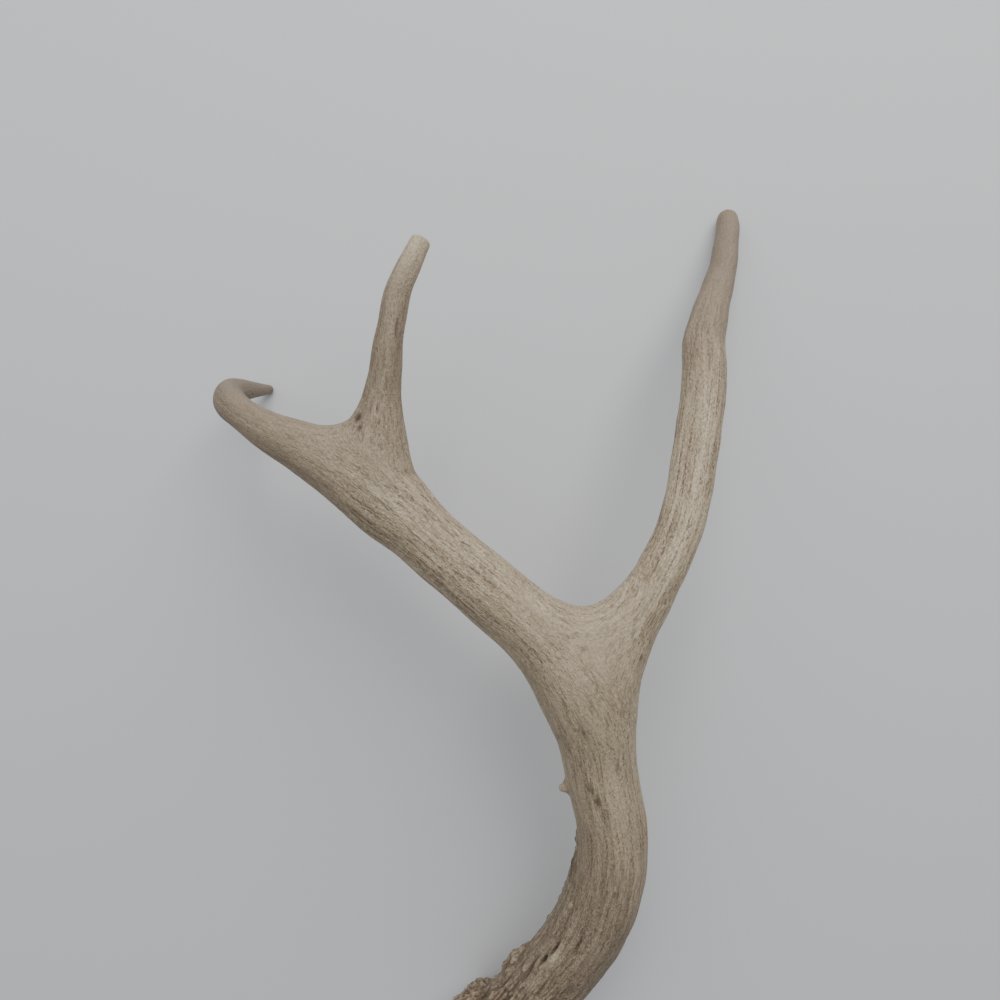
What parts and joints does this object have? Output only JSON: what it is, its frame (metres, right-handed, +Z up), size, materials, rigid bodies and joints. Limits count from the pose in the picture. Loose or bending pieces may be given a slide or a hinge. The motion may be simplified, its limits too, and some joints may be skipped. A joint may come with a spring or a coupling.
{
  "type": "deer antler",
  "caption": "Shed deer antler with a knobbly burr, a curved main beam that forks twice, a hooked front tip and two longer tines, lying on a surface.",
  "frame": {"origin": "middle of the footprint, on the surface the antler lies on", "axes": "+Z up; +Y from the burr towards the tines; -X towards the antler's front edge, +X towards its rear edge"},
  "size_m": [0.2619, 0.439, 0.0968],
  "materials": {
    "beam_bone": "matt dry bone, rough and brown towards the burr, with lengthwise furrows",
    "branch_bone": "matt dry bone, grey-tan with brown streaks along the grain",
    "tine_bone": "smoother dry bone, paler and slightly polished at the worn tips"
  },
  "bodies": {
    "root": {"beam": "beam_bone", "front_branch": "branch_bone", "rear_tine": "branch_bone", "hooked_tip": "tine_bone", "upper_tine": "tine_bone"}
  },
  "joints": []
}
